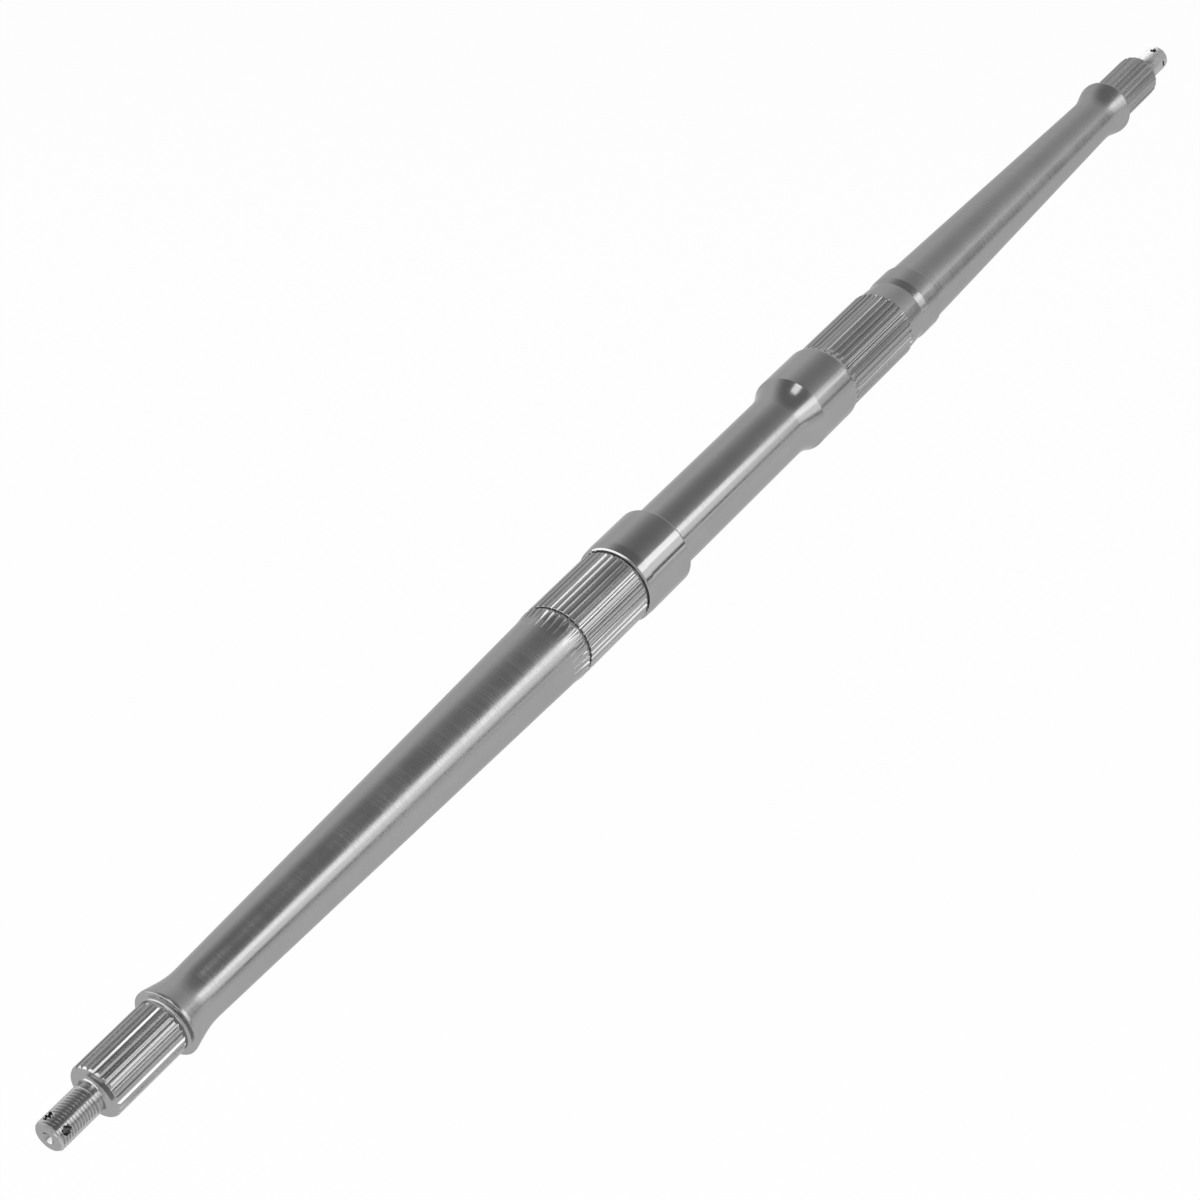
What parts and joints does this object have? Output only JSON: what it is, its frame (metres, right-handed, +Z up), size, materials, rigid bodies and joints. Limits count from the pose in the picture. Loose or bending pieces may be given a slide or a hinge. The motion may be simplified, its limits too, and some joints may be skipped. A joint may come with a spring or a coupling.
{
  "type": "splined axle shaft",
  "caption": "One-piece steel axle shaft with splined ends, flared hub shoulders, two bearing collars, two middle splines and threaded stubs with cotter holes.",
  "frame": {"origin": "on the shaft's axis, at the middle of its overall length", "axes": "+X along the axis, from the end beside the snap ring groove to the end beside the journal and ring; +Z up with the shaft level"},
  "size_m": [0.932, 0.04, 0.04],
  "materials": {
    "ground_steel": "turned and ground bare steel, satin, with brighter rolled splines and threads"
  },
  "bodies": {
    "root": {"splined_shaft": "ground_steel"}
  },
  "joints": []
}
